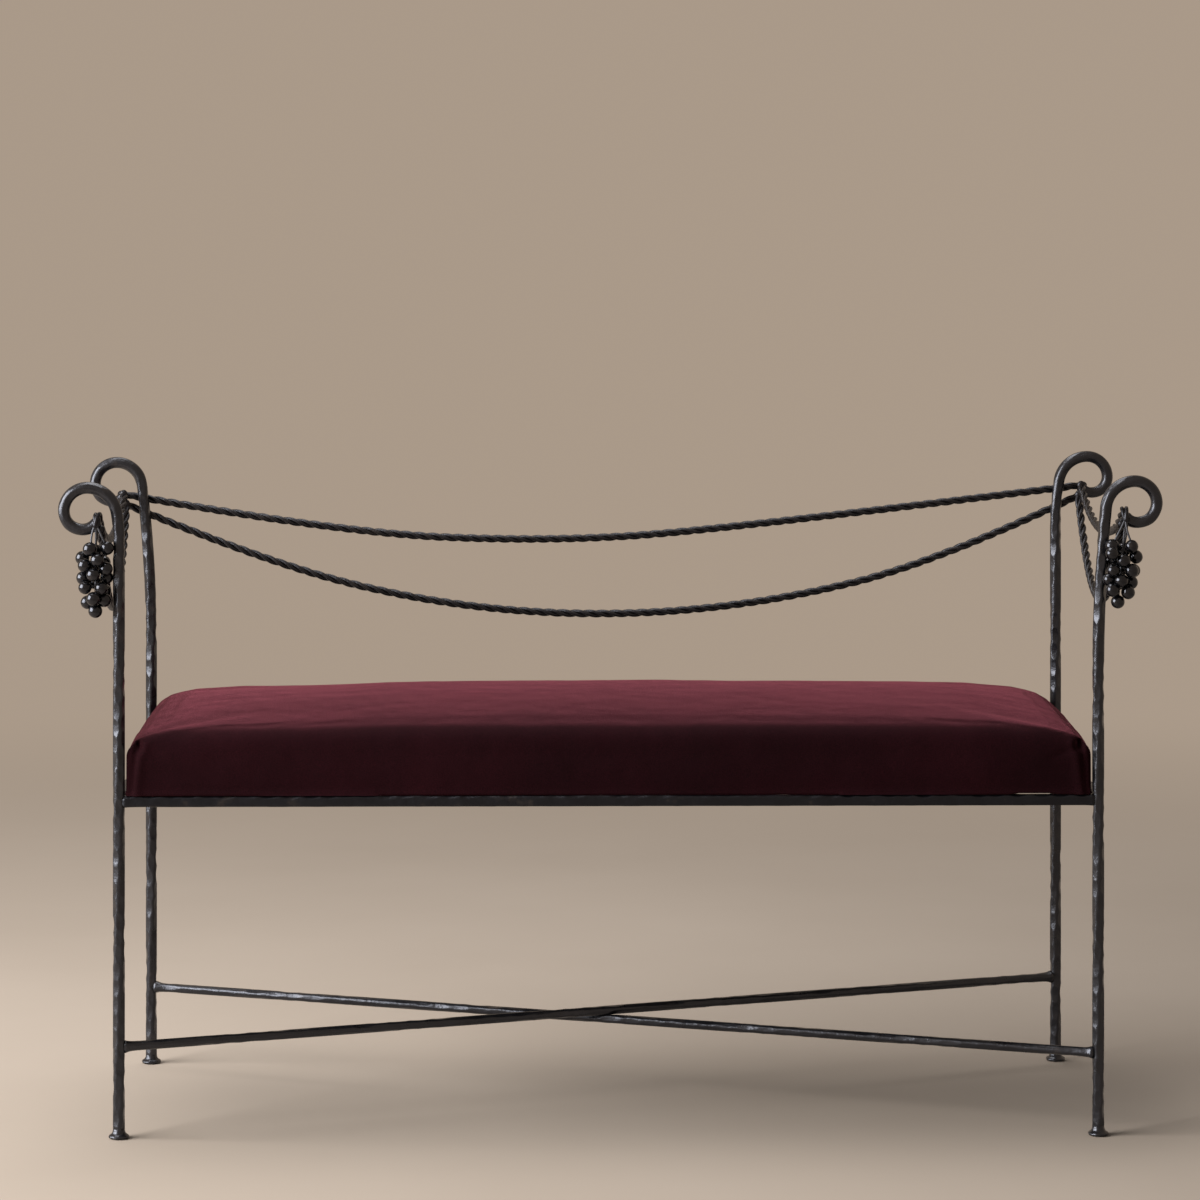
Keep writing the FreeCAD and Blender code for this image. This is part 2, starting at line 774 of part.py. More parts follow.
def make_board():
    """Cut the board, and return its blank, which has no holes yet."""
    body = new_body("seat_board", place_at(0, 0, board_bottom))
    outline = new_sketch(body, "outline", "XY_Plane")
    x, y = board_half_length, board_half_width
    add_polygon(outline, ((-x, -y), (x, -y), (x, y), (-x, y)))
    pad = add_pad(body, outline, S.board_thickness)
    doc.recompute()
    upright = []
    for number, edge in enumerate(pad.Shape.Edges, start=1):
        if abs(edge.tangentAt(edge.FirstParameter).z) > HALF:
            upright.append(f"Edge{number}")
    rounding = body.newObject("PartDesign::Fillet", "seat_board_corners")
    rounding.Base = (pad, upright)
    rounding.setExpression("Radius", S.board_corner_radius.text)
    doc.recompute()
    blank = add_feature("seat_board_blank", rounding.Shape, body.Placement)
    before = body.Shape.Volume
    holes = new_sketch(body, "pilot_holes", "XY_Plane")
    for hand in (-1, 1):
        for depth in (-1, 1):
            add_circle(holes, tab_half_spacing * hand, screw_line * depth,
                       (S.screw_diameter + S.screw_hole_clearance) * HALF)
    pilot = body.newObject("PartDesign::Pocket", "seat_board_pilots")
    pilot.Profile = holes
    pilot.Reversed = True
    pilot.setExpression("Length", (S.screw_bite + S.pilot_tip).text)
    doc.recompute()
    if body.Shape.Volume >= before:
        raise ValueError("the pilot holes remove nothing")
    return blank


def make_dust_cover():
    body = new_body("dust_cover", place_at(0, 0, board_bottom - S.dust_cover_thickness))
    outline = new_sketch(body, "outline", "XY_Plane")
    margin = S.cover_return + S.dust_cover_clearance
    x, y = pad_half_length - margin, pad_half_width - margin
    add_polygon(outline, ((-x, -y), (x, -y), (x, y), (-x, y)))
    add_pad(body, outline, S.dust_cover_thickness)
    holes = new_sketch(body, "holes", "XY_Plane")
    for hand in (-1, 1):
        for depth in (-1, 1):
            add_circle(holes, tab_half_spacing * hand, screw_line * depth, S.dust_hole_diameter * HALF)
    cut_through(body, holes)


def make_pad():
    board_blank = make_board()
    make_dust_cover()
    outer = pad_solid(0.0)
    inner = pad_solid(S.cover_thickness)
    filling = add_feature("seat_filling", inner)
    cut_objects("seat_foam", filling, (board_blank,))
    opening_x = pad_half_length - S.cover_return
    opening_y = pad_half_width - S.cover_return
    opening = doc.addObject("Part::Box", "cover_opening")
    opening.setExpression("Length", (opening_x * 2).text)
    opening.setExpression("Width", (opening_y * 2).text)
    opening.setExpression("Height", (S.cover_thickness * 2).text)
    opening.Placement = place_at(-opening_x, -opening_y, pad_bottom - S.cover_thickness)
    hollow = add_feature("cover_hollow", inner)
    skin = add_feature("cover_skin", outer)
    cut_objects("seat_cover", skin, (hollow, opening))


# Straps under the pad and the screws through them.
def make_tab(label, x, depth):
    """A strap welded to a rail's inner face, flush with its top."""
    turn = 0 if depth < 0 else STRAIGHT_ANGLE
    body = new_body(label, place_at(x, rail_inner_face * depth, S.rail_top - S.tab_thickness, turn))
    outline = new_sketch(body, "outline", "XY_Plane")
    side = S.tab_width * HALF
    reach = S.tab_hole_setback + S.tab_hole_margin
    add_polygon(outline, ((-side, 0.0), (side, 0.0), (side, reach), (-side, reach)))
    add_pad(body, outline, S.tab_thickness)
    hole = new_sketch(body, "hole", "XY_Plane")
    add_circle(hole, 0.0, S.tab_hole_setback, (S.screw_diameter + S.screw_hole_clearance) * HALF)
    cut_through(body, hole)


def make_screw(number, x, y):
    """A pan-head screw, driven upwards."""
    seat = S.rail_top - S.tab_thickness
    shank = doc.addObject("Part::Cylinder", f"screw_shank_{number}")
    shank.setExpression("Radius", (S.screw_diameter * HALF).text)
    shank.setExpression("Height", (S.tab_thickness + S.cover_thickness + S.screw_bite).text)
    shank.Placement = place_at(x, y, seat)
    head = doc.addObject("Part::Cone", f"screw_head_{number}")
    head.setExpression("Radius1", (S.screw_head_diameter * HALF - S.screw_head_height * HALF).text)
    head.setExpression("Radius2", (S.screw_head_diameter * HALF).text)
    head.setExpression("Height", S.screw_head_height.text)
    head.Placement = place_at(x, y, seat - S.screw_head_height)
    screw = doc.addObject("Part::Fuse", f"screw_{number}")
    screw.Base = head
    screw.Tool = shank
    return screw


def make_fixings():
    screws = []
    for depth, place in ((-1, "front"), (1, "back")):
        for hand, side in ((-1, "left"), (1, "right")):
            x = tab_half_spacing * hand
            make_tab(f"seat_tab_{place}_{side}", x, depth)
            screws.append(make_screw(len(screws), x, screw_line * depth))
    group = doc.addObject("Part::Compound", "seat_screws")
    group.Label = "seat_screws"
    group.Links = screws
    NODES.append(group)


def build():
    posts = {corner: Post(corner) for corner in SCROLL_SHARES}
    bodies = {}
    for corner, post in posts.items():
        bodies[corner] = make_post(post)
        make_foot(post)
    make_rails()
    make_stretchers()
    doc.recompute()
    routes = swag_routes(posts)
    for label, route in routes.items():
        make_swag(label, route, [bodies[corner] for corner in swag_posts(label)])
    bunches = (("left", LEFT_BERRY_SHARES), ("right", RIGHT_BERRY_SHARES))
    for side, shares in bunches:
        corner = f"front_{side}"
        make_bunch(side, posts[corner], shares, routes, bodies[corner])
    make_pad()
    make_fixings()
    doc.recompute()


def check():
    for item in doc.Objects:
        if "Invalid" in item.State or "Error" in item.State:
            raise ValueError(f"{item.Label} is {item.State}")
    for node in NODES:
        if node.Shape.isNull() or not node.Shape.isValid() or not node.Shape.Solids:
            raise ValueError(f"{node.Label} has no valid solid")


def write():
    os.makedirs("parts", exist_ok=True)
    for node in NODES:
        node.Shape.exportStep(f"parts/{node.Label}.step")
        print(f"{node.Label}: {len(node.Shape.Solids)} solids, {node.Shape.Volume:.0f} mm3")


build()
check()
write()
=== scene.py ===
import math
import bpy
import numpy as np
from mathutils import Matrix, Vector, noise


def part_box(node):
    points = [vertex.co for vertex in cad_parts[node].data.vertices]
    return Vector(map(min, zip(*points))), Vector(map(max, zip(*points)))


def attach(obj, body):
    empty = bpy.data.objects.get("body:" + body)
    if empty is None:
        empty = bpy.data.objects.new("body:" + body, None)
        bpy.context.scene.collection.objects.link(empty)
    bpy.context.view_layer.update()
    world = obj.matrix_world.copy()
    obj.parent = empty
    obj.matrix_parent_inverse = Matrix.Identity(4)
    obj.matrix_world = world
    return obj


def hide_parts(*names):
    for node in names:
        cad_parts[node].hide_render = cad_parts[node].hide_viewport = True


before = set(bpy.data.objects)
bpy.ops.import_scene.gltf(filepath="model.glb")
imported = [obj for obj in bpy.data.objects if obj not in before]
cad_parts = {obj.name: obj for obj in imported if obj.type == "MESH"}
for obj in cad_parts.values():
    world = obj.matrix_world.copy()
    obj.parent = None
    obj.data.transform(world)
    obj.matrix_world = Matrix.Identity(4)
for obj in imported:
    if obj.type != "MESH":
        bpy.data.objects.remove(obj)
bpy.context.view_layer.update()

rng = np.random.default_rng(7)

# Sizes of the frame, in metres, as the solids have them.
HALF_LONG = 0.54
HALF_DEEP = 0.195
POST_RADIUS = 0.00635
RAIL_HALF = 0.006
RAIL_MIDDLE = 0.371
STRETCHER_LEVELS = {"under": 0.091, "over": 0.1005}
BERRY_RADIUS = 0.00745
CURL = math.radians(58)
QUARTER = math.radians(90)
# Crown height, lean radius and angle, then the shoulder, brow, belly and curl radii.
SCROLLS = {
    "front_right": (0.7286, 1.93, 5.43, 0.032015, 0.024218, 0.0213, 0.01724),
    "front_left": (0.7225, 0.16791, 9.7, 0.033026, 0.0256, 0.020363, 0.02),
    "back_right": (0.7286, 0.29915, 10.0, 0.0337, 0.024269, 0.018914, 0.01534),
    "back_left": (0.7225, 1.62699, 6.76, 0.030094, 0.025498, 0.021215, 0.01534),
}

# The hammered bars: stock radius, depth of a blow, spacing of the blows in a row.
POST_STOCK, POST_BLOW, POST_PITCH = 0.0066, 0.00105, 0.0185
STRETCHER_STOCK, STRETCHER_BLOW, STRETCHER_PITCH = 0.0052, 0.0006, 0.024
# Rows of blows round a bar.
ROWS = 4
# Height along a post where the blows start to grow lighter, and how fast they do.
LIGHTER_FROM, LIGHTER_OVER = 0.68, 0.06

# The ropes: radius of a strand, distance from its middle to the rope's, length of a full turn.
STRAND, LAY = 0.00222, 0.00262
PITCH, UPPER_END_PITCH = 0.047, 0.068


# Materials, all made of nodes.
def background_rays(tree):
    """1 for the rays that show the backdrop: camera, mirror and transmission rays."""
    path = tree.nodes.new("ShaderNodeLightPath")
    seen = path.outputs["Is Camera Ray"]
    for kind in ("Is Transmission Ray", "Is Glossy Ray"):
        most = tree.nodes.new("ShaderNodeMath")
        most.operation = "MAXIMUM"
        tree.links.new(seen, most.inputs[0])
        tree.links.new(path.outputs[kind], most.inputs[1])
        seen = most.outputs["Value"]
    return seen


class Nodes:
    """A short way to build a node material."""

    def __init__(self, name):
        self.material = bpy.data.materials.new(name)
        self.material.use_nodes = True
        self.tree = self.material.node_tree
        self.shader = self.tree.nodes["Principled BSDF"]
        self.place = self.tree.nodes.new("ShaderNodeTexCoord").outputs["Object"]

    def add(self, kind, **values):
        node = self.tree.nodes.new(kind)
        for key, value in values.items():
            setattr(node, key, value)
        return node

    def link(self, output, target):
        self.tree.links.new(output, target)

    def stretch(self, scale):
        node = self.add("ShaderNodeMapping")
        node.inputs["Scale"].default_value = scale
        self.link(self.place, node.inputs["Vector"])
        return node.outputs["Vector"]

    def noise(self, scale, detail=3.0, rough=0.5, vector=None):
        node = self.add("ShaderNodeTexNoise")
        node.inputs["Scale"].default_value = scale
        node.inputs["Detail"].default_value = detail
        node.inputs["Roughness"].default_value = rough
        self.link(vector or self.place, node.inputs["Vector"])
        return node.outputs["Fac"]

    def ramp(self, value, stops):
        node = self.add("ShaderNodeValToRGB")
        ramp = node.color_ramp
        while len(ramp.elements) < len(stops):
            ramp.elements.new(0.5)
        for element, (position, colour) in zip(ramp.elements, stops):
            element.position = position
            if not hasattr(colour, "__len__"):
                colour = (colour,) * 3
            element.color = (*colour, 1)
        self.link(value, node.inputs["Fac"])
        return node.outputs["Color"]

    def bump(self, height, distance, normal=None):
        node = self.add("ShaderNodeBump")
        node.inputs["Strength"].default_value = 1.0
        node.inputs["Distance"].default_value = distance
        self.link(height, node.inputs["Height"])
        if normal is not None:
            self.link(normal, node.inputs["Normal"])
        return node.outputs["Normal"]

    def mix(self, share, first, second, blend="MIX"):
        node = self.add("ShaderNodeMix", data_type="RGBA", blend_type=blend)
        factor, one, two = node.inputs[0], node.inputs[6], node.inputs[7]
        for value, socket in ((share, factor), (first, one), (second, two)):
            if isinstance(value, bpy.types.NodeSocket):
                self.link(value, socket)
            elif hasattr(value, "__len__"):
                socket.default_value = (*value, 1)
            else:
                socket.default_value = value
        return node.outputs[2]

    def set(self, **values):
        for key, value in values.items():
            socket = self.shader.inputs[key.replace("_", " ")]
            if isinstance(value, bpy.types.NodeSocket):
                self.link(value, socket)
            else:
                socket.default_value = (*value, 1) if hasattr(value, "__len__") else value
        return self.material


def iron_material(name, dark, light, low_gloss, high_gloss, pits, shine):
    """Forged iron under black wax: scale, faint brown in places, fine pits."""
    m = Nodes(name)
    patches = m.noise(38, 4, 0.6)
    colour = m.ramp(patches, ((0.3, dark), (0.62, light), (0.8, (0.034, 0.026, 0.021))))
    grain = m.noise(420, 3, 0.6)
    gloss = m.ramp(m.noise(90, 4, 0.65), ((0.3, low_gloss), (0.7, high_gloss)))
    dents = m.bump(m.noise(160, 2, 0.5), 0.0006 * pits)
    fine = m.bump(grain, 0.00014 * pits, dents)
    # The tint keeps the shine from taking the backdrop's brown.
    m.set(Specular_IOR_Level=shine, Specular_Tint=(0.87, 0.89, 1.0))
    return m.set(Base_Color=colour, Roughness=gloss, Normal=fine)


def velvet_material():
    m = Nodes("velvet")
    nap = m.noise(9, 3, 0.55)
    colour = m.ramp(nap, ((0.3, (0.0105, 0.0016, 0.0028)), (0.7, (0.0175, 0.0025, 0.0043))))
    speckle = m.ramp(m.noise(900, 2, 0.6), ((0.3, 0.62), (0.7, 1.35)))
    colour = m.mix(1.0, colour, speckle, "MULTIPLY")
    pile = m.bump(m.noise(1300, 2, 0.6), 0.0004)
    soft = m.bump(m.noise(26, 3, 0.5), 0.0012, pile)
    m.set(Base_Color=colour, Roughness=0.85, Normal=soft)
    m.set(Specular_IOR_Level=0.06, Sheen_Weight=0.35, Sheen_Roughness=0.3)
    return m.set(Sheen_Tint=(0.85, 0.2, 0.27))


def cloth_material():
    m = Nodes("lining")
    across = m.add("ShaderNodeTexWave", wave_type="BANDS", bands_direction="X")
    along = m.add("ShaderNodeTexWave", wave_type="BANDS", bands_direction="Y")
    for wave in (across, along):
        wave.inputs["Scale"].default_value = 320
        wave.inputs["Distortion"].default_value = 0.6
        m.link(m.place, wave.inputs["Vector"])
    weave = m.mix(0.5, across.outputs["Color"], along.outputs["Color"])
    colour = m.ramp(weave, ((0.2, 0.008), (0.8, 0.03)))
    return m.set(Base_Color=colour, Roughness=0.9, Normal=m.bump(weave, 0.0003))


def wood_material():
    m = Nodes("plywood")
    grain = m.noise(30, 5, 0.6, m.stretch((1, 12, 12)))
    colour = m.ramp(grain, ((0.3, (0.36, 0.22, 0.11)), (0.7, (0.56, 0.4, 0.24))))
    return m.set(Base_Color=colour, Roughness=0.65, Normal=m.bump(grain, 0.0003))


def steel_material():
    m = Nodes("zinc")
    rough = m.ramp(m.noise(700, 3), ((0.3, 0.25), (0.7, 0.45)))
    return m.set(Base_Color=(0.55, 0.55, 0.56), Metallic=1.0, Roughness=rough)


IRON = iron_material(
    "iron", (0.003, 0.003, 0.0038), (0.008, 0.0079, 0.0095), 0.25, 0.37, 0.8, 0.68)
# Painted shade: the rails get a darker, less shiny copy of the same iron, so that their faces read
# dimmer than the posts.
PAINTED_SHADE_RAIL_IRON = iron_material(
    "painted_shade_rail_iron", (0.002, 0.002, 0.0028), (0.005, 0.005, 0.0065), 0.3, 0.42, 0.8, 0.35)
ROPE_IRON = iron_material(
    "rope_iron", (0.004, 0.0034, 0.0037), (0.009, 0.0077, 0.0082), 0.3, 0.42, 0.7, 0.42)
# Painted highlight: the stems and their weld get a much lighter grey copy of the same iron, for the
# glints that the thin wires catch.
PAINTED_HIGHLIGHT_STEM_IRON = iron_material(
    "painted_highlight_stem_iron", (0.04, 0.04, 0.043), (0.07, 0.07, 0.075), 0.35, 0.5, 0.4, 0.62)
BERRY_IRON = iron_material(
    "berry_iron", (0.002, 0.002, 0.0024), (0.005, 0.005, 0.0058), 0.13, 0.2, 0.25, 0.55)


# Meshes from rings of points.
def turns_round(count):
    return np.arange(count) * 2 * math.pi / count


def spokes(first, second, turns):
    """Directions round a line: a row for each of its points, a column for each turn."""
    return (first[:, None] * np.cos(turns)[None, :, None]
            + second[:, None] * np.sin(turns)[None, :, None])


def ring_faces(count, around):
    start = np.arange(count - 1)[:, None] * around
    here = start + np.arange(around)[None, :]
    there = start + (np.arange(around)[None, :] + 1) % around
    return np.stack([here, there, there + around, here + around], -1).reshape(-1, 4)


def closed_tube(rings):
    """Vertices and faces of a tube, with a fan over each end."""
    count, around, _ = rings.shape
    points = [*rings.reshape(-1, 3), rings[0].mean(0), rings[-1].mean(0)]
    faces = [tuple(map(int, face[::-1])) for face in ring_faces(count, around)]
    first, last = count * around, count * around + 1
    top = (count - 1) * around
    for k in range(around):
        after = (k + 1) % around
        faces.append((first, k, after))
        faces.append((last, top + after, top + k))
    return np.array(points), faces


def joined(parts):
    points, faces, start = [], [], 0
    for part_points, part_faces in parts:
        points.append(part_points)
        faces += [tuple(index + start for index in face) for face in part_faces]
        start += len(part_points)
    return np.concatenate(points), faces


def add_piece(name, parts, material, nodes=()):
    points, faces = joined(parts)
    mesh = bpy.data.meshes.new(name)
    mesh.from_pydata(points.tolist(), [], faces)
    mesh.validate()
    mesh.shade_smooth()
    piece = bpy.data.objects.new(name, mesh)
    bpy.context.scene.collection.objects.link(piece)
    piece.data.materials.append(material)
    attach(piece, "root")
    if nodes:
        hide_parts(*nodes)
    return piece


def resample(points, step):
    """Points a step apart along a line, and how far along each is."""
    points = np.asarray(points, float)
    far = np.concatenate([[0], np.cumsum(np.linalg.norm(np.diff(points, axis=0), axis=1))])
    along = np.linspace(0, far[-1], max(2, int(round(far[-1] / step)) + 1))
    return np.stack([np.interp(along, far, points[:, k]) for k in range(3)], 1), along


def frames_of(points, side):
    """Two directions across a line at each point; the first starts near side."""
    tangents = np.gradient(points, axis=0)
    tangents /= np.linalg.norm(tangents, axis=1)[:, None]
    across = np.empty_like(points)
    last = np.asarray(side, float)
    for k, tangent in enumerate(tangents):
        last = last - tangent * last.dot(tangent)
        last /= np.linalg.norm(last)
        across[k] = last
    return across, np.cross(tangents, across)


# Hammered bars: a round or square bar, cut back by the flat of each blow.
def hammered_rings(points, along, side, limit, flats, blows, around=36, flare=None):
    angles = turns_round(around)
    radius = np.full((len(points), around), limit)
    for turn, distance in flats:
        cosine = np.cos(angles - turn)
        cut = np.where(cosine > 0.1, distance / np.maximum(cosine, 0.1), 1.0)
        radius = np.minimum(radius, cut)
    for place, turn, distance, bend in blows:
        cosine = np.cos(angles - turn)
        depth = distance + bend * (along - place) ** 2
        cut = np.where(cosine > 0.2, depth[:, None] / np.maximum(cosine, 0.2), 1.0)
        radius = np.minimum(radius, cut)
    if flare is not None:
        radius = radius + flare[:, None]
    spread = spokes(*frames_of(points, side), angles)
    return points[:, None, :] + spread * radius[:, :, None]


def blows_along(length, radius, depth, pitch, start_turn, fade=None):
    """Blows in a slow spiral: each row round the bar has one blow per pitch."""
    found = []
    place, turn = 0.0, start_turn
    while place < length:
        cut = depth * rng.uniform(0.75, 1.3)
        if fade is not None:
            cut *= fade(place)
        spot = place + rng.uniform(-0.1, 0.1) * pitch
        bend = cut / (0.56 * pitch) ** 2
        found.append((spot, turn + rng.uniform(-0.16, 0.16), radius - cut, bend))
        place += pitch / ROWS
        turn += 2 * math.pi / ROWS + 0.05
    return found


def rounded_end(rings, inset):
    """Draw the last rings in a little, so that the bar's end has no sharp rim."""
    centre = rings[-1].mean(0)
    for back, share in ((1, 0.97), (0, 0.8)):
        index = len(rings) - 1 - back
        middle = rings[index].mean(0)
        rings[index] = middle + (rings[index] - middle) * share
    return np.concatenate([rings, (centre + (rings[-1] - centre) * inset)[None]])


class Post:
    def __init__(self, corner):
        depth, side = corner.split("_")
        self.name = corner
        self.out = 1 if side == "right" else -1
        self.x = HALF_LONG * self.out
        self.y = HALF_DEEP * (1 if depth == "back" else -1)
        crown, reach, lean, shoulder, brow, belly, curl = SCROLLS[corner]
        lean = math.radians(lean)
        rise = reach * math.sin(lean) + shoulder * (1 - math.sin(lean))
        straight = crown - POST_RADIUS - rise
        arcs = ((reach, lean), (shoulder, QUARTER - lean), (brow, QUARTER), (belly, QUARTER))
        arcs += ((curl, CURL),)
        x, z, heading = 0.0, straight, QUARTER
        line = [(0.0, 0.004), (0.0, z)]
        for radius, turn in arcs:
            middle = (x + radius * math.sin(heading), z - radius * math.cos(heading))
            for share in np.linspace(0, 1, 25)[1:]:
                angle = heading - turn * share
                across, up = radius * math.sin(angle), radius * math.cos(angle)
                line.append((middle[0] - across, middle[1] + up))
            heading -= turn
            x, z = line[-1]
        self.line = [self.world(a, b) for a, b in line]
        self.tip = line[-1]

    def world(self, outwards, up, backwards=0.0):
        return (self.x + self.out * outwards, self.y + backwards, up)

    def build(self):
        points, along = resample(self.line, 0.0015)

        def fade(place):
            return min(1.0, max(0.5, 1 - (place - LIGHTER_FROM) / LIGHTER_OVER))

        start = math.pi * 0.25 + rng.uniform(-0.3, 0.3)
        blows = blows_along(along[-1], POST_STOCK, POST_BLOW, POST_PITCH, start, fade)
        rings = hammered_rings(points, along, (-1, 0, 0), POST_STOCK, (), blows, 48)
        tube = closed_tube(rounded_end(rings, 0.4))
        add_piece(f"post_bar_{self.name}", [tube], IRON, [f"post_{self.name}"])

    def build_foot(self):
        """A forged button: a rim that is not quite round, a hollow flare above it."""
        profile = [(0.0045, 0.0), (0.0088, 0.0001), (0.0101, 0.0006), (0.0112, 0.0015)]
        profile += [(0.0115, 0.0024), (0.0111, 0.0034), (0.0101, 0.0042), (0.0088, 0.0049)]
        profile += [(0.0078, 0.0059), (0.0071, 0.0073), (0.0067, 0.009), (0.0063, 0.011)]
        sides = 7
        rings = []
        for level, (radius, height) in enumerate(profile):
            share = min(1.0, max(0.0, (radius - 0.0065) / 0.004))
            ring = []
            for turn in turns_round(56):
                east, north = math.cos(turn), math.sin(turn)
                spot = Vector((east * 1.3 + self.x * 9, north * 1.3 + self.y * 9, height * 160))
                push = 1 + 0.05 * share * noise.noise(spot)
                flat = math.cos((turn * sides / 2 / math.pi % 1 - 0.5) * 0.9)
                reach = min(radius * push, (radius * 0.975) / max(flat, 0.1))
                lift = 0.0005 * share * noise.noise(spot * 1.7) if level > 2 else 0.0
                ring.append((self.x + east * reach, self.y + north * reach, height + lift))
            rings.append(ring)
        tube = closed_tube(np.array(rings))
        add_piece(f"foot_button_{self.name}", [tube], IRON, [f"foot_{self.name}"])


posts = {corner: Post(corner) for corner in SCROLLS}
for post in posts.values():
    post.build()
    post.build_foot()


# Rails and stretchers, from post axis to post axis, thickened where they are welded.
def end_flare(along, swell, reach):
    """A fillet at the post's surface; inside the post the bar draws in again."""
    near = np.minimum(along, along[-1] - along) - POST_RADIUS
    inside = np.clip(-near / 0.003, 0, 1)
    return swell * np.exp(-np.maximum(near, 0) / reach) - (swell + 0.002) * inside


def build_rail(name, start, end, front, scallops, swell):
    points, along = resample([start, end], 0.002)
    chamfer = (2 * RAIL_HALF - 0.0015) / math.sqrt(2)
    flats = [(QUARTER * k, RAIL_HALF) for k in range(4)]
    flats += [(QUARTER * (k + 0.5), chamfer) for k in range(4)]
    blows = []
    for turn, depth, pitch in scallops:
        place = rng.uniform(0, pitch)
        while place < along[-1]:
            cut = depth * rng.uniform(0.4, 1.25)
            lean = turn + rng.uniform(-0.12, 0.12)
            limit = chamfer if abs(math.sin(2 * turn)) > 0.5 else RAIL_HALF
            blows.append((place, lean, limit - cut, cut / (0.5 * pitch) ** 2))
            place += pitch * rng.uniform(0.75, 1.3)
    flare = end_flare(along, swell, 0.0025)
    rings = hammered_rings(points, along, front, 1.0, flats, blows, 48, flare)
    # The rails take the darker copy of the iron, which paints shade on them.
    add_piece(f"{name}_bar", [closed_tube(rings)], PAINTED_SHADE_RAIL_IRON, [name])


x, y, z = HALF_LONG, HALF_DEEP, RAIL_MIDDLE
edge = QUARTER * 0.5
# Each scallop: its angle, counted from the outer face towards the top, its depth and its pitch.
scallops = ((edge, 0.0013, 0.021), (QUARTER, 0.0004, 0.03), (0.0, 0.0003, 0.034))
scallops += ((-edge, 0.0003, 0.04), (3 * edge, 0.0009, 0.024))
build_rail("front_rail", (x, -y, z), (-x, -y, z), (0, -1, 0), scallops, 0.0008)
build_rail("back_rail", (-x, y, z), (x, y, z), (0, 1, 0), scallops, 0.0008)
build_rail("left_rail", (-x, -y, z), (-x, y, z), (-1, 0, 0), scallops, 0.0002)
build_rail("right_rail", (x, y, z), (x, -y, z), (1, 0, 0), scallops, 0.0002)


def build_stretcher(level, left_y):
    height = STRETCHER_LEVELS[level]
    start, end = (-HALF_LONG, left_y, height), (HALF_LONG, -left_y, height)
    points, along = resample([start, end], 0.002)
    turn = rng.uniform(0, 2)
    blows = blows_along(along[-1], STRETCHER_STOCK, STRETCHER_BLOW, STRETCHER_PITCH, turn)
    flare = end_flare(along, 0.0026, 0.004)
    rings = hammered_rings(points, along, (0, 0, 1), STRETCHER_STOCK, (), blows, 32, flare)
    name = f"stretcher_{level}"
    add_piece(f"{name}_bar", [closed_tube(rings)], IRON, [name])


build_stretcher("under", HALF_DEEP)
build_stretcher("over", -HALF_DEEP)


# Swags: three strands laid up right-handed along one smooth line.
# Each route is given by how far along its points lie and what share of the sag they have.
BACK_UPPER = ((0.228, 0.796), (0.447, 1.0), (0.632, 0.786))
BACK_LOWER = ((0.15, 0.517), (0.325, 0.878), (0.5, 1.0), (0.675, 0.893), (0.85, 0.561))
SIDES = ((0.167, 0.613), (0.5, 1.0), (0.833, 0.613))


def smooth_line(points):
    """The smooth curve that a route's points control, as points."""
    curve = bpy.data.curves.new("route", "CURVE")
    curve.dimensions = "3D"
    spline = curve.splines.new("NURBS")
    spline.points.add(len(points) - 1)
    for control, point in zip(spline.points, points):
        control.co = (*point, 1)
    spline.order_u = 3
    spline.use_endpoint_u = True
    spline.resolution_u = 32
    holder = bpy.data.objects.new("route", curve)
    mesh = bpy.data.meshes.new_from_object(holder)
    line = np.array([v.co for v in mesh.vertices])
    bpy.data.objects.remove(holder)
    bpy.data.curves.remove(curve)
    bpy.data.meshes.remove(mesh)
    return line


def route(start, end, sag, shares):
    start, end = np.array(start), np.array(end)
    points = [start]
    for along, drop in shares:
        points.append(start + (end - start) * along - np.array((0, 0, sag * drop)))
    points.append(end)
    return points


def ball(centre, radius, seed):
    rows, around = 18, 28
    rings = []
    for tilt in np.linspace(0.02, math.pi - 0.02, rows):
        ring = []
        for turn in turns_round(around):
            wide = math.sin(tilt)
            way = Vector((wide * math.cos(turn), wide * math.sin(turn), -math.cos(tilt)))
            push = 1 + 0.022 * noise.noise(way * 1.6 + Vector((seed, 0, 0)))
            push += 0.008 * noise.noise(way * 5 + Vector((0, seed, 0)))
            ring.append(centre + np.array(way) * radius * push)
        rings.append(ring)
    return closed_tube(np.array(rings))


def lump(centre, size, seed):
    """A weld that was hammered over: a ball pressed unevenly."""
    points, faces = ball(np.zeros(3), 1.0, seed)
    return points * np.array(size) + np.array(centre), faces


def build_rope(name, points, pitch=PITCH, merge=0.006, welds=()):
    line, along = resample(smooth_line(points), 0.0022)
    first, second = frames_of(line, (0, 0, 1))
    # The strands close up and run together towards each welded end.
    near = np.minimum(along, along[-1] - along)
    closing = np.exp(-(near / merge) ** 2)
    thin = STRAND * (1 + 0.3 * closing)
    lay = LAY * (1 - 0.5 * closing)
    parts = []
    for strand in range(3):
        wobble = 0.06 * np.sin(along * 31 + strand * 2.1)
        turn = 2 * math.pi * along / pitch + strand * 2 * math.pi / 3 + wobble
        outward = first * np.cos(turn)[:, None] + second * np.sin(turn)[:, None]
        centre = line + outward * lay[:, None]
        ring = spokes(*frames_of(centre, outward[0]), turns_round(14))
        rings = centre[:, None] + ring * thin[:, None, None]
        parts.append(closed_tube(rounded_end(rings, 0.5)))
    for number, (centre, size) in enumerate(welds):
        parts.append(lump(centre, size, 2.7 * number + len(name)))
    add_piece(f"{name}_rope", parts, ROPE_IRON, [name])


def wrap_over(post, rows):
    """Points that lead the rope over the curl's tip and down its front."""
    out, up = post.tip
    return [post.world(out + a, up + c, b) for a, b, c in rows]


